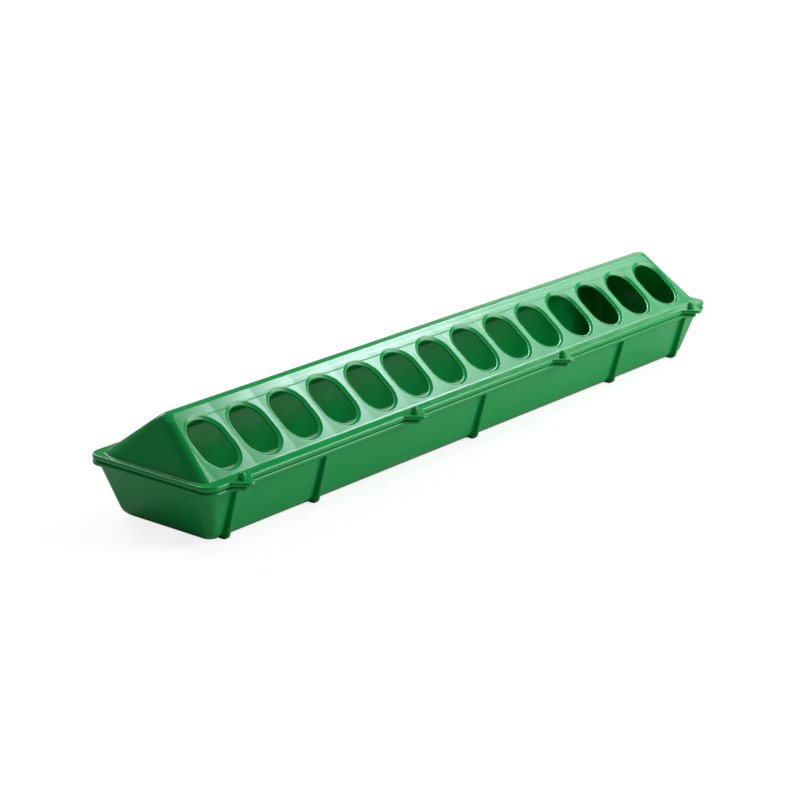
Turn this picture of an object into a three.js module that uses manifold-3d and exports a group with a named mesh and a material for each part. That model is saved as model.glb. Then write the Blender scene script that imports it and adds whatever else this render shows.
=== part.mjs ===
// Flip-top feeder for chicks: a long trough and a tent-shaped lid with feeding holes.
// Millimetres, +Z up. The origin is on the floor, in the middle of the footprint.
// X runs along the feeder. The pegs are on the front rim (-Y) and the hinge is on the back rim (+Y).

import * as THREE from 'three';
import { mergeVertices } from 'three/addons/utils/BufferGeometryUtils.js';
import Module from 'manifold-3d';

// Rims: both mouldings meet at flat rims of one outline
const rimLength = 501.2;
const rimWidth = 96;
const rimCornerRadius = 11;
const rimEdgeChamfer = 0.6;
const partingGap = 0.3;

// Stations: evenly spaced places along the rims, where the ribs, pegs and hinges stand
const stationSpans = 6;
const stationEndMargin = 24.7;

// Trough: walls that lean out from a smaller foot
const troughHeight = 35;
const troughRimThickness = 2.8;
const troughRimSideReach = 6.8;
const troughRimEndReach = 4;
const troughWall = 2.4;
const troughFloor = 2.4;
const footEndMargin = 18.8;
const footSideMargin = 17.5;
const mouthCornerRadius = 5;
const footCornerRadius = 4;
const footEdgeRadius = 9.5;
const floorFilletRadius = 7.2;

// Ribs: upright fins on both long walls, each ending in a foot. Their places count stations
// from the middle, as the places of the pegs and hinges do.
const ribStations = [-3, -2, 0, 2, 3];
const ribThickness = 2.4;
const ribTopReach = 4.8;
const ribFootReach = 6.4;
const ribFootRadius = 3;

// Lid: a tent with a rounded ridge and two gable ends
const lidRimThickness = 3.2;
const lidWall = 2.4;
const tentSideMargin = 7;
const tentEndMargin = 3.6;
const tentRise = 29.95;
const ridgeEndMargin = 11.9;
const ridgeRadius = 6;
const gableTopRadius = 6;
const tentCornerLength = 3.3;
const tentCornerWidth = 13.8;
const ridgeCornerLength = 6.4;
const ridgeCornerWidth = 4.4;

// Feeding holes: stadium openings in both slopes, each with a dished edge and a lip inside.
// There are as many as the tent has room for.
const holePitch = 34;
const holeWidth = 25;
const holeHeight = 35.3;
const holeCentreUpSlope = 22.8;
const holeDishWidth = 2.8;
const holeDishDepth = 1.4;
const holeLipWall = 1.8;

// Front fastening: domed pegs on lugs of the trough, standing through ears of the lid
const pegStations = [-3, -1, 1, 3];
const pegRadius = 2.1;
const pegStandOut = 4.4;
const pegDomeHeight = 1.7;
const pegOffset = 1.2;
const pegClearance = 0.4;
const earReach = 9.6;
const earBaseWidth = 16.4;
const earTipRadius = 3.8;
const lugInset = 0.9;

// Back hinge: round bars of the lid that turn inside hooks of the trough
const hingeStations = [-2, 0, 2];
const hingeHookWidth = 10;
const hingeHookWall = 1.8;
const hingeHookOpenAngle = 40;
const hingeSideGap = 0.5;
const hingeSweepGap = 0.4;
const hingeArmWidth = 3;
const hingeLugCornerRadius = 3;

// Joining and cutting
const rootDepth = 3;
const cutOverrun = 0.5;
const samePointDistance = 0.01;

// Roundness, in facets
const cornerSteps = 6;
const holeCornerSteps = 4;
const ridgeSteps = 3;
const curveSteps = 4;
const pegFacets = 16;
// How far down the first step of the ridge its flat crown ends
const ridgeCrownShare = 0.25;

// Sizes worked out from the ones above
const rimHalfLength = rimLength / 2;
const rimHalfWidth = rimWidth / 2;
const stationPitch = (rimLength - 2 * stationEndMargin) / stationSpans;
const wallTop = troughHeight - troughRimThickness;
const mouthHalfLength = rimHalfLength - troughRimEndReach;
const mouthHalfWidth = rimHalfWidth - troughRimSideReach;
const footHalfLength = rimHalfLength - footEndMargin;
const footHalfWidth = rimHalfWidth - footSideMargin;
const endWallLean = (mouthHalfLength - footHalfLength) / wallTop;
const sideWallLean = (mouthHalfWidth - footHalfWidth) / wallTop;
const tentHalfLength = rimHalfLength - tentEndMargin;
const tentHalfWidth = rimHalfWidth - tentSideMargin;
const ridgeHalfLength = rimHalfLength - ridgeEndMargin;
const gableLean = (tentHalfLength - ridgeHalfLength) / tentRise;
const holesPerSide = Math.floor(2 * tentHalfLength / holePitch);
const ridgeCentreRise = tentRise - ridgeRadius;
const slopeAngle =
  Math.atan2(ridgeCentreRise, tentHalfWidth) +
  Math.asin(ridgeRadius / Math.hypot(tentHalfWidth, ridgeCentreRise));
const slopeLean = 1 / Math.tan(slopeAngle);
const barRadius = lidRimThickness / 2;
const hookBoreRadius = barRadius + partingGap;
const hookOuterRadius = hookBoreRadius + hingeHookWall;
const hingeAxisY = rimHalfWidth + earReach - hookOuterRadius;
const hingeAxisHeight = troughHeight + partingGap + barRadius;
const hingeSlotLength = hingeHookWidth + 2 * hingeSideGap;
const hingeLoopWidth = hingeSlotLength + 2 * hingeArmWidth;

const wasm = await Module();
wasm.setup();

// A closed geometry as a solid that can be joined and cut
function toSolid(geometry) {
  const bare = geometry.clone();
  bare.deleteAttribute('normal');
  bare.deleteAttribute('uv');
  const merged = mergeVertices(bare);
  const mesh = new wasm.Mesh({
    numProp: 3,
    vertProperties: Float32Array.from(merged.getAttribute('position').array),
    triVerts: Uint32Array.from(merged.getIndex().array),
  });
  return new wasm.Manifold(mesh);
}

// A solid back as a geometry with flat facets
function toGeometry(solid) {
  const mesh = solid.getMesh();
  const geometry = new THREE.BufferGeometry();
  geometry.setAttribute('position', new THREE.BufferAttribute(mesh.vertProperties, mesh.numProp));
  geometry.setIndex(new THREE.BufferAttribute(mesh.triVerts, 1));
  geometry.computeVertexNormals();
  return geometry;
}

// A level ring of points: a rectangle with elliptical corners, counterclockwise seen from above
function makeRing(halfLength, halfWidth, cornerLength, cornerWidth, height, steps = cornerSteps) {
  const points = [];
  const signs = [[1, 1], [-1, 1], [-1, -1], [1, -1]];
  signs.forEach(([signX, signY], quarter) => {
    for (let step = 0; step <= steps; step += 1) {
      const angle = (quarter + step / steps) * Math.PI / 2;
      const x = signX * (halfLength - cornerLength) + cornerLength * Math.cos(angle);
      const y = signY * (halfWidth - cornerWidth) + cornerWidth * Math.sin(angle);
      const point = new THREE.Vector3(x, y, height);
      const last = points[points.length - 1];
      if (!last || last.distanceTo(point) > samePointDistance) points.push(point);
    }
  });
  return points;
}

// A closed body through rings of equal count: first ring capped facing down, last one facing up
function loft(rings) {
  const count = rings[0].length;
  const positions = rings.flat().flatMap((point) => point.toArray());
  const index = [];
  for (let step = 1; step < count - 1; step += 1) {
    index.push(0, step + 1, step);
    const top = (rings.length - 1) * count;
    index.push(top, top + step, top + step + 1);
  }
  for (let level = 0; level < rings.length - 1; level += 1) {
    for (let step = 0; step < count; step += 1) {
      const next = (step + 1) % count;
      const low = level * count;
      const high = low + count;
      index.push(low + step, low + next, high + next);
      index.push(low + step, high + next, high + step);
    }
  }
  const geometry = new THREE.BufferGeometry();
  geometry.setAttribute('position', new THREE.Float32BufferAttribute(positions, 3));
  geometry.setIndex(index);
  return geometry;
}

// Half-extent of a leaning wall that rounds into a flat face, at a distance from that face.
// The wall's plane would meet the face at sharpExtent, and it leans out by lean.
function roundedExtent(sharpExtent, lean, radius, distance) {
  const slant = Math.hypot(1, lean);
  if (distance >= radius * (1 - lean / slant)) return sharpExtent + lean * distance;
  const centre = sharpExtent + radius * (lean - slant);
  return centre + Math.sqrt(Math.max(0, radius ** 2 - (radius - distance) ** 2));
}

// Distances from a flat face that step evenly round the edge into a leaning wall
function edgeDistances(lean, radius, steps) {
  const turn = Math.atan2(1, lean);
  return Array.from({ length: steps + 1 }, (_, step) => radius * (1 - Math.cos(turn * step / steps)));
}

// An outline drawn in (y, z), made solid along X about a centre
function extrudeAlongX(shape, width, centreX) {
  const geometry = new THREE.ExtrudeGeometry(shape, {
    depth: width,
    bevelEnabled: false,
    curveSegments: curveSteps,
  });
  const axes = new THREE.Matrix4().makeBasis(
    new THREE.Vector3(0, 1, 0),
    new THREE.Vector3(0, 0, 1),
    new THREE.Vector3(1, 0, 0),
  );
  geometry.applyMatrix4(axes);
  geometry.translate(centreX - width / 2, 0, 0);
  return toSolid(geometry);
}

// A plate with chamfered edges from a plan outline, standing on a height
function chamferedPlate(shape, thickness, height) {
  const geometry = new THREE.ExtrudeGeometry(shape, {
    depth: thickness - 2 * rimEdgeChamfer,
    bevelThickness: rimEdgeChamfer,
    bevelSize: rimEdgeChamfer,
    bevelOffset: -rimEdgeChamfer,
    bevelSegments: 1,
    curveSegments: curveSteps,
  });
  geometry.translate(0, 0, height + rimEdgeChamfer);
  return geometry;
}

// The rings of a rim, from its lower outer edge to its upper one
function rimRings(bottom, thickness) {
  const top = bottom + thickness;
  const levels = [
    [rimEdgeChamfer, bottom],
    [0, bottom + rimEdgeChamfer],
    [0, top - rimEdgeChamfer],
    [rimEdgeChamfer, top],
  ];
  return levels.map(([inset, height]) => {
    const radius = rimCornerRadius - inset;
    return makeRing(rimHalfLength - inset, rimHalfWidth - inset, radius, radius, height);
  });
}

// The trough's shell, lofted from the underside of its floor up the walls and down inside
function makeTroughShell() {
  const slantEnd = Math.hypot(1, endWallLean);
  const slantSide = Math.hypot(1, sideWallLean);
  const outerRing = (height) => {
    const radius = THREE.MathUtils.lerp(footCornerRadius, mouthCornerRadius, height / wallTop);
    return makeRing(
      roundedExtent(footHalfLength, endWallLean, footEdgeRadius, height),
      roundedExtent(footHalfWidth, sideWallLean, footEdgeRadius, height),
      radius,
      radius,
      height,
    );
  };
  const innerRing = (rise) => {
    const height = troughFloor + rise;
    const radius = THREE.MathUtils.lerp(footCornerRadius, mouthCornerRadius, height / wallTop) - troughWall;
    const sharpLength = footHalfLength + endWallLean * troughFloor - troughWall * slantEnd;
    const sharpWidth = footHalfWidth + sideWallLean * troughFloor - troughWall * slantSide;
    return makeRing(
      roundedExtent(sharpLength, endWallLean, floorFilletRadius, rise),
      roundedExtent(sharpWidth, sideWallLean, floorFilletRadius, rise),
      radius,
      radius,
      height,
    );
  };
  const outer = edgeDistances(sideWallLean, footEdgeRadius, ridgeSteps).map(outerRing);
  const inner = edgeDistances(sideWallLean, floorFilletRadius, ridgeSteps).map(innerRing);
  return toSolid(loft([
    ...outer,
    outerRing(wallTop),
    ...rimRings(wallTop, troughRimThickness),
    innerRing(troughHeight - troughFloor),
    ...inner.reverse(),
  ]));
}

// One rib on the back wall: a fin from the edge of the rim down to a round foot
function makeRib(centreX) {
  const topY = mouthHalfWidth + ribTopReach;
  const rootHeight = wallTop + troughRimThickness / 2;
  const footY = footHalfWidth + ribFootReach + sideWallLean * ribFootRadius;
  const shape = new THREE.Shape();
  shape.moveTo(footHalfWidth - footEdgeRadius, 0);
  shape.lineTo(footY - ribFootRadius, 0);
  shape.absarc(footY - ribFootRadius, ribFootRadius, ribFootRadius, -Math.PI / 2, 0, false);
  shape.lineTo(topY, wallTop);
  shape.lineTo(topY, rootHeight);
  shape.lineTo(mouthHalfWidth - troughWall / 2, rootHeight);
  shape.lineTo(footHalfWidth + sideWallLean * troughFloor - troughWall / 2, troughFloor);
  return extrudeAlongX(shape, ribThickness, centreX);
}

// Plan of an ear or a lug: it grows out of the rim at y = 0 and ends in a round tip
function earOutline(inset) {
  const halfBase = earBaseWidth / 2 - inset;
  const tipCentre = earReach - earTipRadius;
  const tipRadius = earTipRadius - inset;
  const tangentAngle =
    Math.acos(tipRadius / Math.hypot(halfBase, tipCentre)) - Math.atan2(tipCentre, halfBase);
  const shape = new THREE.Shape();
  shape.moveTo(-halfBase, -rootDepth);
  shape.lineTo(halfBase, -rootDepth);
  shape.lineTo(halfBase, 0);
  shape.absarc(0, tipCentre, tipRadius, tangentAngle, Math.PI - tangentAngle, false);
  shape.lineTo(-halfBase, 0);
  return shape;
}

// An ear or a lug in place on the front rim
function makeEar(centreX, inset, thickness, height) {
  const geometry = chamferedPlate(earOutline(inset), thickness, height);
  geometry.rotateZ(Math.PI);
  geometry.translate(centreX, -rimHalfWidth, 0);
  return toSolid(geometry);
}

// A domed peg, rooted in its lug
function makePeg(centreX) {
  const bottom = troughHeight - troughRimThickness / 2;
  const top = troughHeight + partingGap + lidRimThickness + pegStandOut;
  const shoulder = top - pegDomeHeight;
  const profile = [new THREE.Vector2(0, bottom)];
  profile.push(new THREE.Vector2(pegRadius, bottom));
  for (let step = 0; step < curveSteps; step += 1) {
    const angle = step / curveSteps * Math.PI / 2;
    profile.push(new THREE.Vector2(pegRadius * Math.cos(angle), shoulder + pegDomeHeight * Math.sin(angle)));
  }
  profile.push(new THREE.Vector2(0, top));
  const geometry = new THREE.LatheGeometry(profile, pegFacets);
  geometry.rotateX(Math.PI / 2);
  geometry.translate(centreX, -rimHalfWidth - pegOffset, 0);
  return toSolid(geometry);
}

// A hinge lug and its hook, on the back rim of the trough
function makeHingeHook(centreX) {
  const halfWidth = hingeLoopWidth / 2;
  const tipY = earReach - hingeLugCornerRadius;
  const plan = new THREE.Shape();
  plan.moveTo(-halfWidth, -rootDepth);
  plan.lineTo(halfWidth, -rootDepth);
  plan.lineTo(halfWidth, tipY);
  plan.absarc(halfWidth - hingeLugCornerRadius, tipY, hingeLugCornerRadius, 0, Math.PI / 2, false);
  plan.absarc(-halfWidth + hingeLugCornerRadius, tipY, hingeLugCornerRadius, Math.PI / 2, Math.PI, false);
  const lug = chamferedPlate(plan, troughRimThickness, wallTop);
  lug.translate(centreX, rimHalfWidth, 0);

  const lowest = 3 * Math.PI / 2;
  const open = THREE.MathUtils.degToRad(hingeHookOpenAngle);
  const hook = new THREE.Shape();
  hook.absarc(hingeAxisY, hingeAxisHeight, hookOuterRadius, open, lowest, false);
  hook.absarc(hingeAxisY, hingeAxisHeight, hookBoreRadius, lowest, open, true);
  return toSolid(lug).add(extrudeAlongX(hook, hingeHookWidth, centreX));
}

// A hinge loop on the back rim of the lid: a web, two arms and the round bar between them
function makeHingeLoop(centreX) {
  const rootY = rimHalfWidth - rootDepth;
  const webEndY = hingeAxisY - hookOuterRadius - hingeSweepGap;
  const web = new THREE.Shape();
  web.moveTo(rootY, 0);
  web.lineTo(webEndY, 0);
  web.lineTo(webEndY, lidRimThickness);
  web.lineTo(rootY, lidRimThickness);

  const arm = new THREE.Shape();
  arm.moveTo(rootY, 0);
  arm.lineTo(hingeAxisY, 0);
  arm.absarc(hingeAxisY, barRadius, barRadius, -Math.PI / 2, Math.PI / 2, false);
  arm.lineTo(rootY, lidRimThickness);

  const bar = new THREE.Shape();
  bar.absarc(hingeAxisY, barRadius, barRadius, 0, 2 * Math.PI, false);

  const armOffset = (hingeSlotLength + hingeArmWidth) / 2;
  return extrudeAlongX(web, hingeLoopWidth, centreX)
    .add(extrudeAlongX(arm, hingeArmWidth, centreX - armOffset))
    .add(extrudeAlongX(arm, hingeArmWidth, centreX + armOffset))
    .add(extrudeAlongX(bar, hingeSlotLength + hingeArmWidth, centreX));
}

// The lid's shell, lofted from the ceiling down inside, round the rim and up to the ridge
function makeLidShell() {
  const slantSlope = Math.hypot(1, slopeLean);
  const slantGable = Math.hypot(1, gableLean);
  const ridgeHeight = lidRimThickness + tentRise;
  const sharpRidge = ridgeRadius * (slantSlope - slopeLean);

  const tentRing = (drop, thickness) => {
    const share = 1 - drop / tentRise;
    const fall = drop - thickness;
    const inset = (slant, lean) => thickness * (slant - lean);
    const sharpLength = ridgeHalfLength - inset(slantGable, gableLean);
    const sharpWidth = sharpRidge - inset(slantSlope, slopeLean);
    const halfLength = roundedExtent(sharpLength, gableLean, gableTopRadius - thickness, fall);
    const halfWidth = roundedExtent(sharpWidth, slopeLean, ridgeRadius - thickness, fall);
    const cornerLength = THREE.MathUtils.lerp(tentCornerLength, ridgeCornerLength, share) - thickness;
    const widestCorner = THREE.MathUtils.lerp(tentCornerWidth, ridgeCornerWidth, share) - thickness;
    const cornerWidth = Math.min(widestCorner, halfWidth);
    return makeRing(halfLength, halfWidth, cornerLength, cornerWidth, ridgeHeight - drop);
  };

  const gableDrops = edgeDistances(gableLean, gableTopRadius, ridgeSteps).slice(1);
  const ridgeDrops = edgeDistances(slopeLean, ridgeRadius, ridgeSteps).slice(1);
  const crownDrop = ridgeDrops[0] * ridgeCrownShare;
  const outerDrops = [...gableDrops, ...ridgeDrops, crownDrop].sort((a, b) => b - a);
  // The ceiling steps down as the outside does, round its smaller radius
  const ceilingShare = (ridgeRadius - lidWall) / ridgeRadius;
  const innerDrops = outerDrops.map((drop) => lidWall + drop * ceilingShare).reverse();

  const mouthLength = mouthHalfLength - troughWall * Math.hypot(1, endWallLean);
  const mouthWidth = mouthHalfWidth - troughWall * Math.hypot(1, sideWallLean);
  const mouthRadius = mouthCornerRadius - troughWall;
  const mouthRing = (height) => makeRing(mouthLength, mouthWidth, mouthRadius, mouthRadius, height);

  return toSolid(loft([
    ...innerDrops.map((drop) => tentRing(drop, lidWall)),
    tentRing(tentRise + lidRimThickness / 2, lidWall),
    mouthRing(0),
    ...rimRings(0, lidRimThickness),
    tentRing(tentRise, 0),
    ...outerDrops.map((drop) => tentRing(drop, 0)),
  ]));
}

// A body in the hole's own frame: x along the feeder, y up the slope, z out of the slope
function placeOnSlope(rings, centreX, side) {
  const geometry = loft(rings);
  geometry.translate(0, holeCentreUpSlope, 0);
  geometry.rotateX(slopeAngle);
  geometry.translate(0, -tentHalfWidth, lidRimThickness);
  if (side > 0) geometry.rotateZ(Math.PI);
  geometry.translate(centreX, 0, 0);
  return toSolid(geometry);
}

// Ring of a feeding hole, grown by an offset, at a height out of the slope
function holeRing(offset, height) {
  const halfWidth = holeWidth / 2 + offset;
  return makeRing(halfWidth, holeHeight / 2 + offset, halfWidth, halfWidth, height, holeCornerSteps);
}

// The lip that follows a dished edge on the inside of the lid
function makeHoleLip(centreX, side) {
  const depth = lidWall + holeDishDepth;
  return placeOnSlope([
    holeRing(holeLipWall, -depth),
    holeRing(holeDishWidth, -lidWall / 2),
  ], centreX, side);
}

// The cutter of a feeding hole: straight through, and dished at the outside
function makeHoleCutter(centreX, side) {
  const depth = lidWall + holeDishDepth + cutOverrun;
  const flare = holeDishWidth * (1 + cutOverrun / holeDishDepth);
  return placeOnSlope([
    holeRing(0, -depth),
    holeRing(0, -holeDishDepth),
    holeRing(flare, cutOverrun),
  ], centreX, side);
}

// Trough: shell, ribs, lugs with pegs, and hinge hooks in one moulding
function makeTrough() {
  let solid = makeTroughShell();
  for (const station of ribStations) {
    const rib = makeRib(station * stationPitch);
    solid = solid.add(rib).add(rib.rotate([0, 0, 180]));
  }
  for (const station of pegStations) {
    const centreX = station * stationPitch;
    const lug = makeEar(centreX, lugInset, troughRimThickness, wallTop);
    solid = solid.add(lug).add(makePeg(centreX));
  }
  for (const station of hingeStations) {
    solid = solid.add(makeHingeHook(station * stationPitch));
  }
  return solid;
}

// Lid: shell, ears, hinge loops and feeding holes in one moulding
function makeLid() {
  let solid = makeLidShell();
  for (const station of hingeStations) {
    solid = solid.add(makeHingeLoop(station * stationPitch));
  }
  for (const station of pegStations) {
    const centreX = station * stationPitch;
    const radius = pegRadius + pegClearance;
    const length = lidRimThickness + 2 * cutOverrun;
    const drill = new THREE.CylinderGeometry(radius, radius, length, pegFacets);
    drill.rotateX(Math.PI / 2);
    drill.translate(centreX, -rimHalfWidth - pegOffset, lidRimThickness / 2);
    solid = solid.add(makeEar(centreX, 0, lidRimThickness, 0)).subtract(toSolid(drill));
  }
  for (const side of [-1, 1]) {
    for (let hole = 0; hole < holesPerSide; hole += 1) {
      const centreX = (hole - (holesPerSide - 1) / 2) * holePitch;
      solid = solid.add(makeHoleLip(centreX, side)).subtract(makeHoleCutter(centreX, side));
    }
  }
  return solid;
}

function makePlastic(color) {
  return new THREE.MeshStandardMaterial({ color, roughness: 0.35, metalness: 0 });
}

const feeder = new THREE.Group();

const trough = new THREE.Mesh(toGeometry(makeTrough()), makePlastic(0x0a8a40));
trough.name = 'trough';
feeder.add(trough);

const lid = new THREE.Mesh(toGeometry(makeLid()), makePlastic(0x1fa257));
lid.name = 'lid';
lid.position.z = troughHeight + partingGap;
feeder.add(lid);

export default feeder;
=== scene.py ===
import math

import bmesh
import bpy
from mathutils import Matrix, Vector


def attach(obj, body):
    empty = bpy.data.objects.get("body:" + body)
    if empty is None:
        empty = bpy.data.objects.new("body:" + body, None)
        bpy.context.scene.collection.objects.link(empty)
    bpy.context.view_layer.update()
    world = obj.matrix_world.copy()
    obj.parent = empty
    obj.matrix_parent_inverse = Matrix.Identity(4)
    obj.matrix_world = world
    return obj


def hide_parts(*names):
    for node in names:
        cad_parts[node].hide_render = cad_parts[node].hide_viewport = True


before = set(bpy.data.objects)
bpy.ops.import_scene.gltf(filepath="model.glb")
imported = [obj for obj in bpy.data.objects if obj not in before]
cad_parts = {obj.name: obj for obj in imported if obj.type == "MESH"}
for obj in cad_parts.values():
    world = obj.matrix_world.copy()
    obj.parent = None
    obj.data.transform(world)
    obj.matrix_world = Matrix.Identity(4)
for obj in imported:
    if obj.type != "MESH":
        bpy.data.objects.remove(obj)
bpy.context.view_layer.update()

mm = 0.001
print("frame: loaded", sorted(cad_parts))

# what counts as the same place, in millimetres
tolerance = {
    "cut": 0.0001, "weld": 0.001, "level": 0.01, "near": 0.1,
    "flatAngle": 1,  # degrees between two faces that count as one flat face
    "facing": 0.9,  # share of a normal's length that counts as facing that way
}


# modelling helpers, with places and sizes in millimetres

def deselectAll():
    bpy.ops.object.select_all(action="DESELECT")


def selectOnly(made):
    deselectAll()
    bpy.context.view_layer.objects.active = made
    made.select_set(True)


def giveName(made, name):
    made.name = name
    made.data.name = name
    return made


def enterEdit(kind):
    bpy.ops.object.mode_set(mode="EDIT")
    bpy.ops.mesh.select_mode(type=kind)


def leaveEdit():
    bpy.ops.object.mode_set(mode="OBJECT")
    return bpy.context.object


def selectWhole():
    bpy.ops.mesh.select_all(action="SELECT")


def pick(kind, test):
    # selects the faces whose normal, or the edges whose two ends, pass the test
    bpy.ops.mesh.select_all(action="DESELECT")
    bpy.ops.mesh.select_mode(type=kind)
    mesh = bmesh.from_edit_mesh(bpy.context.object.data)
    if kind == "FACE":
        for face in mesh.faces:
            face.select_set(test(face.normal))
    else:
        for edge in mesh.edges:
            start, end = edge.verts
            edge.select_set(test(start.co, end.co))
    bmesh.update_edit_mesh(bpy.context.object.data)


def bevelPicked(width, segments):
    bpy.ops.mesh.bevel(offset=width * mm, segments=segments, affect="EDGES", clamp_overlap=False)


def faceOutwards():
    selectWhole()
    bpy.ops.mesh.normals_make_consistent(inside=False)


def closeSkin():
    # merges doubled points, fills what is open and turns all faces outwards
    selectWhole()
    bpy.ops.mesh.remove_doubles(threshold=tolerance["weld"] * mm)
    bpy.ops.mesh.fill_holes(sides=0)
    faceOutwards()


def wrapTight():
    # puts a tight skin round all that the mesh holds, with flat faces kept whole
    selectWhole()
    bpy.ops.mesh.convex_hull(delete_unused=True, use_existing_faces=False)
    selectWhole()
    bpy.ops.mesh.remove_doubles(threshold=tolerance["weld"] * mm)
    bpy.ops.mesh.dissolve_limited(angle_limit=math.radians(tolerance["flatAngle"]))
    faceOutwards()


def cutAway(point, normal):
    # bisects the whole mesh, drops the side that the normal points to and closes the cut
    selectWhole()
    bpy.ops.mesh.bisect(
        plane_co=[size * mm for size in point], plane_no=Vector(normal).normalized(),
        use_fill=True, clear_outer=True, clear_inner=False, threshold=tolerance["cut"] * mm,
    )


def applyModifiers(made):
    selectOnly(made)
    for name in [modifier.name for modifier in made.modifiers]:
        bpy.ops.object.modifier_apply(modifier=name)


def combine(made, other, operation):
    # joins or cuts with another closed mesh, which is used up
    modifier = made.modifiers.new("combine", "BOOLEAN")
    modifier.operation = operation
    modifier.solver = "EXACT"
    modifier.object = other
    applyModifiers(made)
    bpy.data.objects.remove(other)


def repeatAlong(made, count, pitch):
    modifier = made.modifiers.new("row", "ARRAY")
    modifier.count = count
    modifier.use_relative_offset = False
    modifier.use_constant_offset = True
    modifier.constant_offset_displace = (pitch * mm, 0, 0)
    applyModifiers(made)


def mirrorAcross(made):
    # the same again on the other long side
    modifier = made.modifiers.new("otherSide", "MIRROR")
    modifier.use_axis = (False, True, False)
    modifier.use_mirror_merge = False
    applyModifiers(made)


def copiesAt(made, places):
    # one closed mesh at several places along X, as one object
    metres = [place * mm for place in places]
    selectOnly(made)
    enterEdit("VERT")
    selectWhole()
    bpy.ops.transform.translate(value=(metres[0], 0, 0))
    for before, after in zip(metres, metres[1:]):
        bpy.ops.mesh.duplicate_move(TRANSFORM_OT_translate={"value": (after - before, 0, 0)})
    return leaveEdit()


def addPrimitive(kind, name, **options):
    # the place goes into the mesh, so the object itself stays at the origin
    deselectAll()
    kind(**options)
    made = giveName(bpy.context.object, name)
    bpy.ops.object.transform_apply(location=True, rotation=True, scale=True)
    return made


def addBox(name, low, high):
    # a box between two corners, left in edit mode with all of it selected
    centre = [(least + most) / 2 * mm for least, most in zip(low, high)]
    size = [(most - least) * mm for least, most in zip(low, high)]
    made = addPrimitive(bpy.ops.mesh.primitive_cube_add, name, size=1, location=centre)
    enterEdit("EDGE")
    selectWhole()
    bpy.ops.transform.resize(value=size, center_override=centre)
    return made


def cylinderOptions(sides, radius, depth, place, lying=False):
    # for a cylinder that stands upright or lies along X
    return {
        "vertices": sides, "radius": radius * mm, "depth": depth * mm,
        "location": [size * mm for size in place], "rotation": (0, math.pi / 2 if lying else 0, 0),
    }


def addRing(ring, segments):
    # a level rectangle with elliptical corners
    halfLength, halfWidth, cornerLength, cornerWidth, height = [size * mm for size in ring]
    centre = (0, 0, height)
    squash = cornerLength / cornerWidth
    bpy.ops.mesh.primitive_plane_add(size=2, location=centre)
    if bpy.context.mode == "OBJECT":
        # the first ring starts a new object
        bpy.ops.object.transform_apply(location=True, rotation=True, scale=True)
        enterEdit("VERT")
        selectWhole()
    bpy.ops.transform.resize(value=(halfLength, halfWidth * squash, 1), center_override=centre)
    bpy.ops.mesh.bevel(offset=cornerLength, segments=segments, affect="VERTICES")
    bpy.ops.transform.resize(value=(1, 1 / squash, 1), center_override=centre)


def loftRings(name, rings, segments):
    # a closed body: each ring is bridged to the one before it, and both ends are filled
    deselectAll()
    for ring in rings:
        addRing(ring, segments)
        mesh = bmesh.from_edit_mesh(bpy.context.object.data)
        mesh.verts.index_update()
        older = [vert.index for vert in mesh.verts if not vert.hide and not vert.select]
        bpy.ops.mesh.delete(type="ONLY_FACE")
        if not older:
            continue
        selectWhole()
        bpy.ops.mesh.bridge_edge_loops()
        mesh = bmesh.from_edit_mesh(bpy.context.object.data)
        mesh.verts.ensure_lookup_table()
        for index in older:
            mesh.verts[index].hide_set(True)
        bpy.ops.mesh.select_all(action="DESELECT")
    bpy.ops.mesh.reveal(select=True)
    closeSkin()
    return giveName(leaveEdit(), name)


def roundedExtent(sharpExtent, lean, radius, distance):
    # half-extent of a leaning wall that rounds into a level face, at a distance from that face
    slant = math.hypot(1, lean)
    if distance >= radius * (1 - lean / slant):
        return sharpExtent + lean * distance
    centre = sharpExtent + radius * (lean - slant)
    return centre + math.sqrt(max(0, radius ** 2 - (radius - distance) ** 2))


def edgeDistances(lean, radius, steps):
    # distances from the level face that step evenly round that edge
    turn = math.atan2(1, lean)
    return [radius * (1 - math.cos(turn * step / steps)) for step in range(steps + 1)]


def roundEdge(radius, steps):
    # (inset, distance from the face) round a square edge, from the face to the side
    turns = [math.pi / 2 * step / steps for step in range(steps + 1)]
    return [(radius * (1 - math.sin(turn)), radius * (1 - math.cos(turn))) for turn in turns]


# what both mouldings share, in millimetres like all sizes of the feeder
rim = {
    "length": 501.2, "width": 96, "corner": 8.5, "edge": 1.1, "edgeSteps": 4, "cornerSegments": 16,
    "gap": 0.3,  # between the two rims, and round the hinge's bars
    "stationPitch": 75.3,  # of the ribs, ears, pegs and hinges along the rims
}
rimHalfLength, rimHalfWidth = rim["length"] / 2, rim["width"] / 2


def stationPlaces(numbers):
    # places along the rims, from station numbers counted from the middle
    return [number * rim["stationPitch"] for number in numbers]


def rimRings(bottom, thickness):
    # the outside of a rim, from its underside round the edge to its top
    corner = rim["corner"]
    rounding = roundEdge(rim["edge"], rim["edgeSteps"])
    low = [(inset, bottom + rise) for inset, rise in rounding]
    high = [(inset, bottom + thickness - drop) for inset, drop in rounding]
    return [
        (rimHalfLength - inset, rimHalfWidth - inset, corner - inset, corner - inset, height)
        for inset, height in low + high[::-1]
    ]


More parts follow.
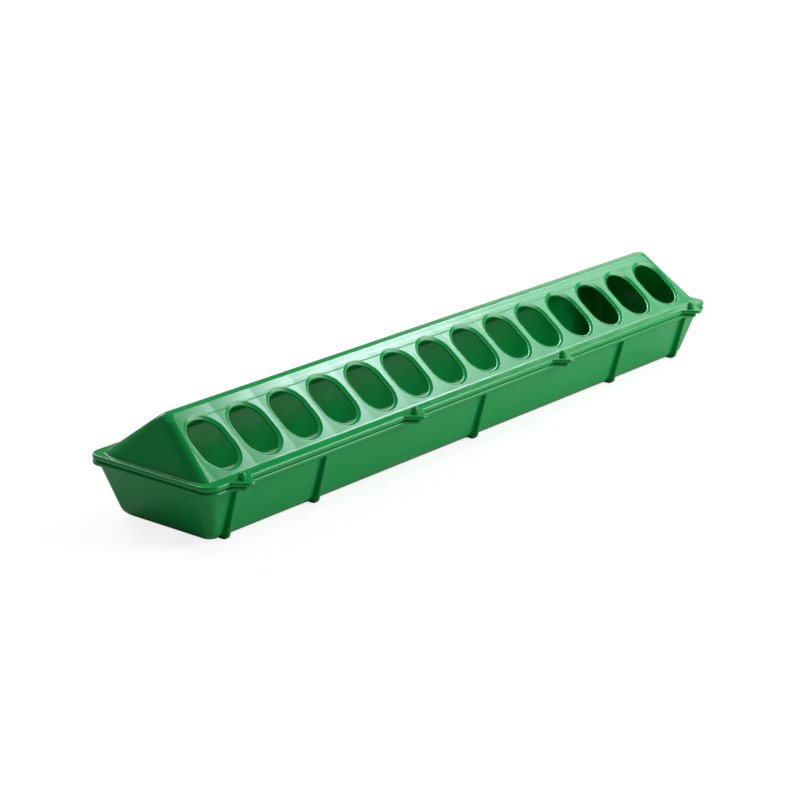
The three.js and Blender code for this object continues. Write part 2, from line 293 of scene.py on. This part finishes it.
# the trough: its walls reach out to the rim less a reach, and its foot stands in by a margin
trough = {
    "height": 35, "rimThickness": 2.8, "wall": 2.4, "floor": 2.4, "sideReach": 3.8, "endReach": 2.2,
    "footSideMargin": 12.8, "footEndMargin": 13.6, "mouthCorner": 8, "footCorner": 5,
    "footEdge": 8, "floorFillet": 6, "roundSteps": 10, "mouthEdge": 0.6,
    "cutEnd": 2,  # how far the cavity's cutter stands over the mouth
    # the small fillet where a wall runs into the rim's underside: (drop, growth)
    "rimFillet": [(0.8, 0), (0.3, 0.1), (0.1, 0.3), (0.02, 0.8)],
}
wallTop = trough["height"] - trough["rimThickness"]
mouthLength, mouthWidth = rimHalfLength - trough["endReach"], rimHalfWidth - trough["sideReach"]
footLength = rimHalfLength - trough["footEndMargin"]
footWidth = rimHalfWidth - trough["footSideMargin"]
endLean, sideLean = (mouthLength - footLength) / wallTop, (mouthWidth - footWidth) / wallTop


def wallCorner(height):
    return trough["footCorner"] + (trough["mouthCorner"] - trough["footCorner"]) * height / wallTop


def makeTroughBody():
    # the outside of the trough as one full body, before its cavity is cut
    def ring(height, grow=0):
        radius = wallCorner(height) + grow
        return (
            roundedExtent(footLength, endLean, trough["footEdge"], height) + grow,
            roundedExtent(footWidth, sideLean, trough["footEdge"], height) + grow,
            radius, radius, height,
        )

    heights = edgeDistances(sideLean, trough["footEdge"], trough["roundSteps"])
    foot = [ring(height) for height in heights]
    fillet = [ring(wallTop - drop, grow) for drop, grow in trough["rimFillet"]]
    rings = foot + fillet + rimRings(wallTop, trough["rimThickness"])
    return loftRings("troughMoulding", rings, rim["cornerSegments"])


def makeCavity():
    # what is cut out of the trough: a round-edged floor, walls one thickness in, an eased mouth
    floorHeight, wall = trough["floor"], trough["wall"]
    sharpLength = footLength + endLean * floorHeight - wall * math.hypot(1, endLean)
    sharpWidth = footWidth + sideLean * floorHeight - wall * math.hypot(1, sideLean)

    def ring(rise, grow=0, lift=0):
        radius = wallCorner(floorHeight + rise) - wall + grow
        return (
            roundedExtent(sharpLength, endLean, trough["floorFillet"], rise) + grow,
            roundedExtent(sharpWidth, sideLean, trough["floorFillet"], rise) + grow,
            radius, radius, floorHeight + rise + lift,
        )

    depth, edge = trough["height"] - floorHeight, trough["mouthEdge"]
    rises = edgeDistances(sideLean, trough["floorFillet"], trough["roundSteps"])
    inner = [ring(rise) for rise in rises]
    mouth = [ring(depth - drop, edge - inset) for inset, drop in roundEdge(edge, rim["edgeSteps"])]
    over = ring(depth, edge, trough["cutEnd"])
    return loftRings("cavity", inner + mouth[::-1] + [over], rim["cornerSegments"])


# upright ribs on both long walls: they reach out less at the top than at the rounded foot
rib = {
    "stations": [-3, -2, 0, 2, 3], "thickness": 2.4, "topReach": 2.5, "footReach": 3,
    "footRadius": 3, "footSteps": 8, "edge": 0.7, "edgeSteps": 4,
}


def makeRibs():
    rootTop = wallTop + trough["rimThickness"] / 2  # halfway into the rim
    footY = footWidth + rib["footReach"] + sideLean * rib["footRadius"]
    topY = mouthWidth + rib["topReach"]
    footStart = footY - rib["footRadius"]
    half, near = rib["thickness"] / 2, tolerance["near"]
    made = addBox("ribs", (-half, footWidth - trough["footEdge"], 0), (half, rimHalfWidth, rootTop))
    cutAway((0, topY, wallTop), (0, wallTop - rib["footRadius"], footY - topY))

    def onFoot(start, end):
        low = abs(start.z) + abs(end.z) < near * mm
        return low and min(start.y, end.y) > footStart * mm

    pick("EDGE", onFoot)
    bevelPicked(rib["footRadius"], rib["footSteps"])

    def onOuterEdge(start, end):
        outside = min(start.y, end.y) > (footStart - near) * mm
        side = abs(start.x - end.x) < near * mm and abs(abs(start.x) - half * mm) < near * mm
        return outside and side and min(start.z, end.z) < (rootTop - near) * mm

    pick("EDGE", onOuterEdge)
    bevelPicked(rib["edge"], rib["edgeSteps"])
    leaveEdit()
    made = copiesAt(made, stationPlaces(rib["stations"]))
    mirrorAcross(made)
    return made


# the lid: a rim and a tent whose slopes meet in a round ridge
lid = {
    "rimThickness": 3.2, "wall": 2, "rise": 29.95, "tentSideMargin": 7, "tentEndMargin": 3.6,
    "ridgeEndMargin": 11.9, "ridgeRadius": 6, "gableRadius": 6, "ridgeSteps": 12, "gableSteps": 8,
    "crownDrop": 0.02,  # of the first ring under the top
    # the tent's upright corners, along X and along Y, and the share of the half width they may take
    "baseCorner": (4.5, 13.8), "ridgeCorner": (6.4, 4.4), "cornerLimit": 0.9,
    # the fillet round the tent's foot: its height, how far it spreads, and where its rings lie
    "footFillet": 0.8, "footSpread": 0.6, "footShares": (0.02, 0.12, 0.3, 0.55, 0.8, 1),
    "ledgeDrop": 1.6,  # from the rim's top to where the inside steps out to the mouth
    "mouthEdge": [(0, 0.5), (0.15, 0.15), (0.5, 0.02)],  # (growth, rise) round the mouth's edge
}
lidBottom = trough["height"] + rim["gap"]
lidHeight = lid["rimThickness"] + lid["rise"]
lidRimTop = lidBottom + lid["rimThickness"]
tentLength = rimHalfLength - lid["tentEndMargin"]
tentWidth = rimHalfWidth - lid["tentSideMargin"]
ridgeLength = rimHalfLength - lid["ridgeEndMargin"]
ridgeCentreRise = lid["rise"] - lid["ridgeRadius"]
slopeAngle = math.atan2(ridgeCentreRise, tentWidth)
slopeAngle += math.asin(lid["ridgeRadius"] / math.hypot(tentWidth, ridgeCentreRise))
slopeLean, gableLean = 1 / math.tan(slopeAngle), (tentLength - ridgeLength) / lid["rise"]
slopeSlant, gableSlant = math.hypot(1, slopeLean), math.hypot(1, gableLean)
ridgeWidth = lid["ridgeRadius"] * (slopeSlant - slopeLean)


def tentRing(drop, wall=0, grow=0):
    # a level section of the tent at a drop from its top, set in by a wall
    share = 1 - drop / lid["rise"]
    lengthAtTop = ridgeLength - wall * (gableSlant - gableLean)
    widthAtTop = ridgeWidth - wall * (slopeSlant - slopeLean)
    gableRadius, ridgeRadius = lid["gableRadius"] - wall, lid["ridgeRadius"] - wall
    halfLength = roundedExtent(lengthAtTop, gableLean, gableRadius, drop - wall) + grow
    halfWidth = roundedExtent(widthAtTop, slopeLean, ridgeRadius, drop - wall) + grow
    cornerLength, cornerWidth = [
        base + (top - base) * share - wall + grow
        for base, top in zip(lid["baseCorner"], lid["ridgeCorner"])
    ]
    cornerWidth = min(cornerWidth, halfWidth * lid["cornerLimit"])
    return (halfLength, halfWidth, cornerLength, cornerWidth, lidBottom + lidHeight - drop)


def makeLidShell():
    # one loft, from the top of the inside down to the mouth, round the rim and up the outside
    ridgeDrops = edgeDistances(slopeLean, lid["ridgeRadius"], lid["ridgeSteps"])
    gableDrops = edgeDistances(gableLean, lid["gableRadius"], lid["gableSteps"])
    drops = sorted(set(ridgeDrops[1:] + gableDrops[1:] + [lid["crownDrop"]]))
    wall, fillet = lid["wall"], lid["footFillet"]
    thin = (lid["ridgeRadius"] - wall) / lid["ridgeRadius"]
    inside = [tentRing(wall + drop * thin, wall) for drop in drops]
    inside.append(tentRing(lid["rise"] + lid["ledgeDrop"], wall))

    # the mouth is as wide as the trough's inside
    length = mouthLength - trough["wall"] * math.hypot(1, endLean)
    width = mouthWidth - trough["wall"] * math.hypot(1, sideLean)
    corner = trough["mouthCorner"] - trough["wall"]
    mouth = [
        (length + grow, width + grow, corner + grow, corner + grow, lidBottom + rise)
        for grow, rise in lid["mouthEdge"]
    ]

    foot = [
        tentRing(lid["rise"] - fillet * share, 0, fillet * (1 - share) ** 2 * lid["footSpread"])
        for share in lid["footShares"]
    ]
    outside = [tentRing(drop) for drop in drops[::-1]]
    rings = inside + mouth + rimRings(lidBottom, lid["rimThickness"]) + foot + outside
    return loftRings("lidMoulding", rings, rim["cornerSegments"])


# the feeding holes: a dished edge outside that ends in a narrow level ring
hole = {
    "count": 14, "pitch": 34, "width": 25, "height": 35.3, "upSlope": 22.8, "segments": 14,
    # the cutter: (reach past the opening, level over the slope), and how far it goes on inwards
    "cut": [
        (3.7, 0.35), (2.5, 0), (2.25, -0.05), (1.95, -0.18), (0.65, -0.86), (0.48, -0.92),
        (0.18, -0.94), (0.05, -0.98), (0, -1.06),
    ],
    "cutEnd": 1.6,
}


def makeHoles():
    # one oval sunk in from level to level, then repeated along the slope and on the other side
    reach, level = hole["cut"][0]
    halfWidth, halfHeight = hole["width"] / 2 + reach, hole["height"] / 2 + reach
    centre = (0, 0, level * mm)
    made = addPrimitive(bpy.ops.mesh.primitive_plane_add, "holes", size=2, location=centre)
    enterEdit("VERT")
    selectWhole()
    bpy.ops.transform.resize(value=(halfWidth * mm, halfHeight * mm, 1), center_override=centre)
    bpy.ops.mesh.bevel(offset=halfWidth * mm, segments=hole["segments"], affect="VERTICES")
    selectWhole()
    bpy.ops.mesh.remove_doubles(threshold=tolerance["weld"] * mm)
    bpy.ops.mesh.select_mode(type="FACE")
    selectWhole()
    for (reach, level), (nextReach, nextLevel) in zip(hole["cut"], hole["cut"][1:]):
        bpy.ops.mesh.inset(thickness=(reach - nextReach) * mm, depth=(nextLevel - level) * mm)
    inwards = {"value": (0, 0, -hole["cutEnd"] * mm)}
    bpy.ops.mesh.extrude_region_move(TRANSFORM_OT_translate=inwards)
    closeSkin()
    firstPlace = -hole["pitch"] * (hole["count"] - 1) / 2
    bpy.ops.transform.translate(value=(firstPlace * mm, hole["upSlope"] * mm, 0))
    leaveEdit()
    made.rotation_euler = (slopeAngle, 0, 0)
    made.location = (0, -tentWidth * mm, lidRimTop * mm)
    bpy.ops.object.transform_apply(location=True, rotation=True, scale=True)
    repeatAlong(made, hole["count"], hole["pitch"])
    mirrorAcross(made)
    return made


# ears of the lid and the smaller lugs of the trough under them
ear = {
    "stations": [-3, -1, 1, 3], "reach": 9.6, "base": 18.4, "tip": 3.8, "thickness": 2.5,
    "edge": 1.1, "edgeSteps": 4, "tipSides": 48,
    "root": 3,  # how far it goes into the rim
    "shy": 0.03,  # how far its faces stay inside the rim's
}
lug = {"reach": 5.6, "base": 9.6, "tip": 2.5, "thickness": 2.3}


def makeEars(name, plan, top):
    # each is the tight skin round a box in the rim and a cylinder at the tip
    low, high = top - plan["thickness"] + ear["shy"], top - ear["shy"]
    half = plan["base"] / 2
    rootY = -rimHalfWidth + ear["root"]
    tipY = -rimHalfWidth - plan["reach"] + plan["tip"]
    tipPlace = (0, tipY, (low + high) / 2)
    made = addBox(name, (-half, -rimHalfWidth, low), (half, rootY, high))
    bpy.ops.mesh.primitive_cylinder_add(
        **cylinderOptions(ear["tipSides"], plan["tip"], high - low, tipPlace))
    wrapTight()

    def onPlan(start, end):
        level = abs(start.z - end.z) < tolerance["level"] * mm
        return level and min(start.y, end.y) < (rootY - tolerance["near"]) * mm

    pick("EDGE", onPlan)
    bevelPicked(ear["edge"], ear["edgeSteps"])
    leaveEdit()
    return copiesAt(made, stationPlaces(ear["stations"]))


# domed pegs on the lugs, with holes for them in the lid
peg = {
    "radius": 2.3, "standOut": 4.4, "dome": 2.2, "offset": 1.2, "clearance": 0.25,
    "sides": 32, "domeSteps": 8,
    "overcut": 2,  # by which the hole's cutter is longer than the rim is thick
}
pegY = -rimHalfWidth - peg["offset"]


def makePegs():
    bottom = trough["height"] - trough["rimThickness"] / 2  # inside the lug
    top = lidRimTop + peg["standOut"]
    place = (0, pegY, (top + bottom) / 2)
    shape = cylinderOptions(peg["sides"], peg["radius"], top - bottom, place)
    made = addPrimitive(bpy.ops.mesh.primitive_cylinder_add, "pegs", **shape)
    enterEdit("EDGE")
    pick("EDGE", lambda start, end: min(start.z, end.z) > (top - tolerance["near"]) * mm)
    bevelPicked(peg["dome"], peg["domeSteps"])
    leaveEdit()
    return copiesAt(made, stationPlaces(ear["stations"]))


def makePegHoles():
    radius, depth = peg["radius"] + peg["clearance"], lid["rimThickness"] + peg["overcut"]
    place = (0, pegY, lidBottom + lid["rimThickness"] / 2)
    shape = cylinderOptions(peg["sides"], radius, depth, place)
    made = addPrimitive(bpy.ops.mesh.primitive_cylinder_add, "pegHoles", **shape)
    return copiesAt(made, stationPlaces(ear["stations"]))


# the hinge: hooks of the trough round the bars of the lid
hinge = {
    "stations": [-2, 0, 2], "hookWidth": 10, "hookWall": 1.8, "sideGap": 0.5, "sweepGap": 0.4,
    "armWidth": 3, "lugCorner": 3, "edge": 0.4, "turnSteps": 28, "cornerSteps": 10, "edgeSteps": 3,
    "sides": 32, "sharpAngle": 60,
    "hookTurn": 230,  # degrees that the hook goes round the bar
    "blank": 1,  # half the block that the hook's cross-section is taken from
    "barInset": 0.14, "webInset": 0.2,  # inside the loop's thickness
}
barRadius = lid["rimThickness"] / 2
hookBore = barRadius + rim["gap"]
hookOuter = hookBore + hinge["hookWall"]
axisY = rimHalfWidth + ear["reach"] - hookOuter
axisZ = lidBottom + barRadius
hingeSlot = hinge["hookWidth"] + 2 * hinge["sideGap"]
hingeLoop = hingeSlot + 2 * hinge["armWidth"]


def makeHooks():
    half, blank = hinge["hookWidth"] / 2, hinge["blank"]
    low, high = axisZ - hookOuter, axisZ - hookBore
    made = addBox("hooks", (-half, axisY - blank, low), (half, axisY + blank, high))
    # one cross-section under the axis, spun round the bar to the open side
    pick("FACE", lambda normal: normal.y < -tolerance["facing"])
    bpy.ops.mesh.select_all(action="INVERT")
    bpy.ops.mesh.delete(type="FACE")
    selectWhole()
    bpy.ops.transform.translate(value=(0, blank * mm, 0))
    bpy.ops.mesh.spin(
        steps=hinge["turnSteps"], angle=-math.radians(hinge["hookTurn"]),
        center=(0, axisY * mm, axisZ * mm), axis=(1, 0, 0),
    )
    closeSkin()
    bpy.ops.mesh.select_all(action="DESELECT")
    bpy.ops.mesh.select_mode(type="EDGE")
    bpy.ops.mesh.edges_select_sharp(sharpness=math.radians(hinge["sharpAngle"]))
    bevelPicked(hinge["edge"], hinge["edgeSteps"])
    leaveEdit()
    return copiesAt(made, stationPlaces(hinge["stations"]))


def makeHingeLugs():
    half, near, level = hingeLoop / 2, tolerance["near"], tolerance["level"]
    low = trough["height"] - trough["rimThickness"] + ear["shy"]
    high = trough["height"] - ear["shy"]
    root, tip = rimHalfWidth - ear["root"], rimHalfWidth + ear["reach"]
    made = addBox("hingeLugs", (-half, root, low), (half, tip, high))

    def onTipCorner(start, end):
        return min(start.y, end.y) > (tip - near) * mm and abs(start.z - end.z) > near * mm

    pick("EDGE", onTipCorner)
    bevelPicked(hinge["lugCorner"], hinge["cornerSteps"])

    def onPlan(start, end):
        return max(start.y, end.y) > (root + near) * mm and abs(start.z - end.z) < level * mm

    pick("EDGE", onPlan)
    bevelPicked(ear["edge"], ear["edgeSteps"])
    leaveEdit()
    return copiesAt(made, stationPlaces(hinge["stations"]))


def makeHingeLoops():
    # a web, two arms with round ends and the bar between them
    low = lidBottom + ear["shy"]
    high = low + lid["rimThickness"] - 2 * ear["shy"]
    root = rimHalfWidth - ear["root"]
    webEnd = axisY - hookOuter - hinge["sweepGap"]
    half, slot, inset = hingeLoop / 2, hingeSlot / 2, hinge["webInset"]
    near, level = tolerance["near"], tolerance["level"]
    webLow = (-half + inset, root + inset, low + inset)
    webHigh = (half - inset, webEnd, high - inset)
    web = addBox("hingeLoops", webLow, webHigh)
    pick("EDGE", lambda start, end: min(start.y, end.y) > (webEnd - near) * mm)
    bevelPicked(hinge["edge"], hinge["edgeSteps"])
    leaveEdit()

    arms = addBox("arms", (slot, root, low), (half, axisY, high))
    armEnd = ((half + slot) / 2, axisY, axisZ)
    shape = cylinderOptions(hinge["sides"], (high - low) / 2, half - slot, armEnd, lying=True)
    bpy.ops.mesh.primitive_cylinder_add(**shape)
    wrapTight()

    def onArmSide(start, end):
        return abs(start.x - end.x) < level * mm and max(start.y, end.y) > (root + near) * mm

    pick("EDGE", onArmSide)
    bevelPicked(hinge["edge"], hinge["edgeSteps"])
    leaveEdit()
    arms = copiesAt(arms, [0, -(half + slot)])
    combine(web, arms, "UNION")

    radius, length = barRadius - hinge["barInset"], hingeSlot + hinge["armWidth"]
    shape = cylinderOptions(hinge["sides"], radius, length, (0, axisY, axisZ), lying=True)
    bar = addPrimitive(bpy.ops.mesh.primitive_cylinder_add, "bars", **shape)
    combine(web, bar, "UNION")
    return copiesAt(web, stationPlaces(hinge["stations"]))


smoothAngle = 34  # degrees, past which an edge shades as sharp


def finishShading(made):
    selectOnly(made)
    bpy.ops.object.shade_smooth_by_angle(angle=math.radians(smoothAngle))
    modifier = made.modifiers.new("weightedNormals", "WEIGHTED_NORMAL")
    modifier.mode = "FACE_AREA"
    modifier.keep_sharp = True
    applyModifiers(made)


troughMoulding = makeTroughBody()
combine(troughMoulding, makeRibs(), "UNION")
combine(troughMoulding, makeCavity(), "DIFFERENCE")
print("trough: walls and ribs", len(troughMoulding.data.vertices), "points")
combine(troughMoulding, makeHingeLugs(), "UNION")
combine(troughMoulding, makeHooks(), "UNION")
combine(troughMoulding, makeEars("lugs", lug, trough["height"]), "UNION")
combine(troughMoulding, makePegs(), "UNION")
finishShading(troughMoulding)
print("trough: with lugs, pegs and hooks", len(troughMoulding.data.vertices), "points")

lidMoulding = makeLidShell()
print("lid: shell", len(lidMoulding.data.vertices), "points")
combine(lidMoulding, makeHoles(), "DIFFERENCE")
print("lid: with its holes", len(lidMoulding.data.vertices), "points")
combine(lidMoulding, makeEars("ears", ear, lidRimTop), "UNION")
combine(lidMoulding, makeHingeLoops(), "UNION")
combine(lidMoulding, makePegHoles(), "DIFFERENCE")
finishShading(lidMoulding)
print("lid: with ears and hinge loops", len(lidMoulding.data.vertices), "points")


# material helpers: each input takes a value or the output of another node

def setInputs(owner, node, inputs):
    for socket, value in inputs.items():
        if isinstance(value, bpy.types.NodeSocket):
            owner.node_tree.links.new(value, node.inputs[socket])
        else:
            node.inputs[socket].default_value = value


def addNode(owner, kind, inputs, **settings):
    node = owner.node_tree.nodes.new(kind)
    for setting, value in settings.items():
        setattr(node, setting, value)
    setInputs(owner, node, inputs)
    return node


# green polypropylene, moulded glossy, with slow changes of tone and gloss and a fine grain
plastic = {
    "name": "greenPlastic", "deep": (0, 0.335, 0.062, 1), "fresh": (0, 0.375, 0.078, 1),
    "roughness": (0.17, 0.25), "specular": 0.45, "flowScale": 14, "flowDetail": 3,
    "grainScale": 900, "grainDetail": 2, "grainStrength": 0.15, "grainDepth": 0.02,
    "swell": 0.12,  # of the slopes at each hole
    # a faint raised band along the slopes under the ridge: heights from, to, and its ends
    "band": (62.9, 65.9), "bandRise": 0.06, "bandEdge": 0.9, "bandEnd": 232,
}


def makePlastic():
    material = bpy.data.materials.new(plastic["name"])
    material.use_nodes = True
    place = addNode(material, "ShaderNodeTexCoord", {}).outputs["Object"]

    def addNoise(scale, detail):
        inputs = {"Scale": scale, "Detail": detail, "Vector": place}
        return addNode(material, "ShaderNodeTexNoise", inputs).outputs["Fac"]

    def addBump(height, distance, others, invert=False):
        # the other inputs are its strength or the bump that lies under it
        inputs = {"Height": height, "Distance": distance * mm, **others}
        return addNode(material, "ShaderNodeBump", inputs, invert=invert).outputs["Normal"]

    def calculate(operation, first, second=0):
        inputs = {0: first, 1: second}
        return addNode(material, "ShaderNodeMath", inputs, operation=operation).outputs["Value"]

    def rampUp(value, start, end):
        inputs = {"Value": value, "From Min": start * mm, "From Max": end * mm}
        ramp = addNode(material, "ShaderNodeMapRange", inputs, interpolation_type="SMOOTHSTEP")
        return ramp.outputs["Result"]

    flow = addNoise(plastic["flowScale"], plastic["flowDetail"])
    tones = {"Factor": flow, "A": plastic["deep"], "B": plastic["fresh"]}
    tone = addNode(material, "ShaderNodeMix", tones, data_type="RGBA")
    smooth, rough = plastic["roughness"]
    span = {"Value": flow, "To Min": smooth, "To Max": rough}
    gloss = addNode(material, "ShaderNodeMapRange", span)
    grain = addNoise(plastic["grainScale"], plastic["grainDetail"])
    relief = addBump(grain, plastic["grainDepth"], {"Strength": plastic["grainStrength"]})

    # the lid's slopes swell a little between the flow lines that stand halfway between holes:
    # the square of a share from -0.5 to 0.5 reaches a quarter, hence four times the swell
    axes = addNode(material, "ShaderNodeSeparateXYZ", {"Vector": place})
    panels = calculate("DIVIDE", axes.outputs["X"], hole["pitch"] * mm)
    across = calculate("SUBTRACT", calculate("FRACT", panels), 0.5)
    squared = calculate("MULTIPLY", across, across)
    onTent = calculate("GREATER_THAN", axes.outputs["Z"], lidRimTop * mm)
    dip = calculate("MULTIPLY", squared, onTent)
    waves = addBump(dip, plastic["swell"] * 4, {"Normal": relief}, invert=True)

    low, high = plastic["band"]
    lowEdge = rampUp(axes.outputs["Z"], low, low + plastic["bandEdge"])
    highEdge = rampUp(axes.outputs["Z"], high - plastic["bandEdge"], high)
    along = calculate("ABSOLUTE", axes.outputs["X"])
    between = calculate("LESS_THAN", along, plastic["bandEnd"] * mm)
    risen = calculate("MULTIPLY", calculate("SUBTRACT", lowEdge, highEdge), between)
    band = addBump(risen, plastic["bandRise"], {"Normal": waves})

    setInputs(material, material.node_tree.nodes["Principled BSDF"], {
        "Base Color": tone.outputs["Result"], "Roughness": gloss.outputs["Result"],
        "Specular IOR Level": plastic["specular"], "Normal": band,
    })
    return material


greenPlastic = makePlastic()
for made, node in ((troughMoulding, "trough"), (lidMoulding, "lid")):
    made.data.materials.clear()
    made.data.materials.append(greenPlastic)
    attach(made, node)
    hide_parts(node)
print("material: green plastic on both mouldings")


# the camera: angles in degrees, focal length and picture in pixels, the rest in millimetres
camera = {
    "yaw": -50.823, "pitch": 18.028, "roll": 0.359, "focal": 2388.38, "picture": 800, "sensor": 36,
    "location": (-1125.3, -893.33, 485.14),
}


def placeCamera():
    data = bpy.data.cameras.new("camera")
    data.sensor_width = camera["sensor"]
    data.lens = camera["focal"] / camera["picture"] * camera["sensor"]
    made = bpy.data.objects.new("camera", data)
    bpy.context.scene.collection.objects.link(made)
    turn = Matrix.Rotation(math.radians(camera["yaw"]), 3, "Z")
    tilt = Matrix.Rotation(math.radians(90 - camera["pitch"]), 3, "X")
    roll = Matrix.Rotation(math.radians(camera["roll"]), 3, "Z")
    place = Matrix.Translation(Vector(camera["location"]) * mm)
    made.matrix_world = place @ (turn @ tilt @ roll).to_4x4()
    bpy.context.scene.camera = made


placeCamera()


# the floor, in metres: it looks white, and bounces less light than a white floor would
floor = {
    "size": 6, "bounce": (0.66, 0.66, 0.66, 1), "seen": (0.3, 0.3, 0.3, 1),
    "glow": (0.8, 1.0), "reach": 1.4,
}


def makeFloor():
    made = addPrimitive(
        bpy.ops.mesh.primitive_plane_add, "floor", size=floor["size"], location=(0, 0, 0))
    material = bpy.data.materials.new("whiteFloor")
    material.use_nodes = True
    nodes = material.node_tree.nodes
    nodes.remove(nodes["Principled BSDF"])
    bounce = addNode(material, "ShaderNodeBsdfDiffuse", {"Color": floor["bounce"]})
    seen = addNode(material, "ShaderNodeBsdfDiffuse", {"Color": floor["seen"]})

    # the backdrop whitens away from the object, where the lamps reach it less
    place = addNode(material, "ShaderNodeTexCoord", {}).outputs["Object"]
    away = addNode(material, "ShaderNodeVectorMath", {0: place}, operation="LENGTH")
    nearGlow, farGlow = floor["glow"]
    whiten = addNode(material, "ShaderNodeMapRange", {
        "Value": away.outputs["Value"], "From Max": floor["reach"],
        "To Min": nearGlow, "To Max": farGlow,
    })
    glow = addNode(material, "ShaderNodeEmission", {"Strength": whiten.outputs["Result"]})
    shown = {0: seen.outputs["BSDF"], 1: glow.outputs["Emission"]}
    lit = addNode(material, "ShaderNodeAddShader", shown)
    path = addNode(material, "ShaderNodeLightPath", {})
    mix = addNode(material, "ShaderNodeMixShader", {
        "Fac": path.outputs["Is Camera Ray"], 1: bounce.outputs["BSDF"], 2: lit.outputs["Shader"],
    })
    setInputs(material, nodes["Material Output"], {"Surface": mix.outputs["Shader"]})
    made.data.materials.append(material)


makeFloor()


# the lamps, in metres: soft boxes aimed at the feeder's middle or just over it
coolTint = (0.83, 0.93, 1.0)
softBoxes = {
    "keyBox": {"place": (1.05, -1.22, 0.84), "size": (1.1, 1.1), "radiance": 6.3, "aim": (0, 0, 0)},
    "sheenBox": {
        "place": (1.05, -0.08, 1.13), "size": (0.34, 0.26), "radiance": 21, "tint": coolTint,
    },
    "sheenSkirt": {
        "place": (1.05, -0.05, 0.8), "size": (0.4, 0.3), "radiance": 4.8, "tint": coolTint,
    },
    "backCard": {"place": (1.05, 0.46, 0.48), "size": (0.5, 0.36), "radiance": 1.5},
    "backFill": {"place": (0.2, 1.4, 1.15), "size": (1.2, 1.2), "radiance": 4.5},
}
worldStrength = 0.12  # of the world's light on the feeder; the camera sees the world white


def lightWorld():
    world = bpy.data.worlds.new("studio")
    bpy.context.scene.world = world
    world.use_nodes = True
    path = addNode(world, "ShaderNodeLightPath", {})
    level = addNode(world, "ShaderNodeMapRange", {
        "Value": path.outputs["Is Camera Ray"], "To Min": worldStrength, "To Max": 1,
    })
    setInputs(world, world.node_tree.nodes["Background"], {
        "Color": (1, 1, 1, 1), "Strength": level.outputs["Result"],
    })


def addSoftBox(name, place, size, radiance, aim=(0, 0, 0.05), tint=(1, 1, 1)):
    data = bpy.data.lights.new(name, "AREA")
    data.shape = "RECTANGLE"
    data.size, data.size_y = size
    data.energy = radiance * math.pi * size[0] * size[1]
    data.color = tint
    made = bpy.data.objects.new(name, data)
    bpy.context.scene.collection.objects.link(made)
    turn = (Vector(aim) - Vector(place)).to_track_quat("-Z", "Y")
    made.matrix_world = Matrix.Translation(place) @ turn.to_matrix().to_4x4()


bpy.context.scene.view_settings.view_transform = "Standard"
lightWorld()
for name, plan in softBoxes.items():
    addSoftBox(name, **plan)
print("stage: camera, floor and lights")
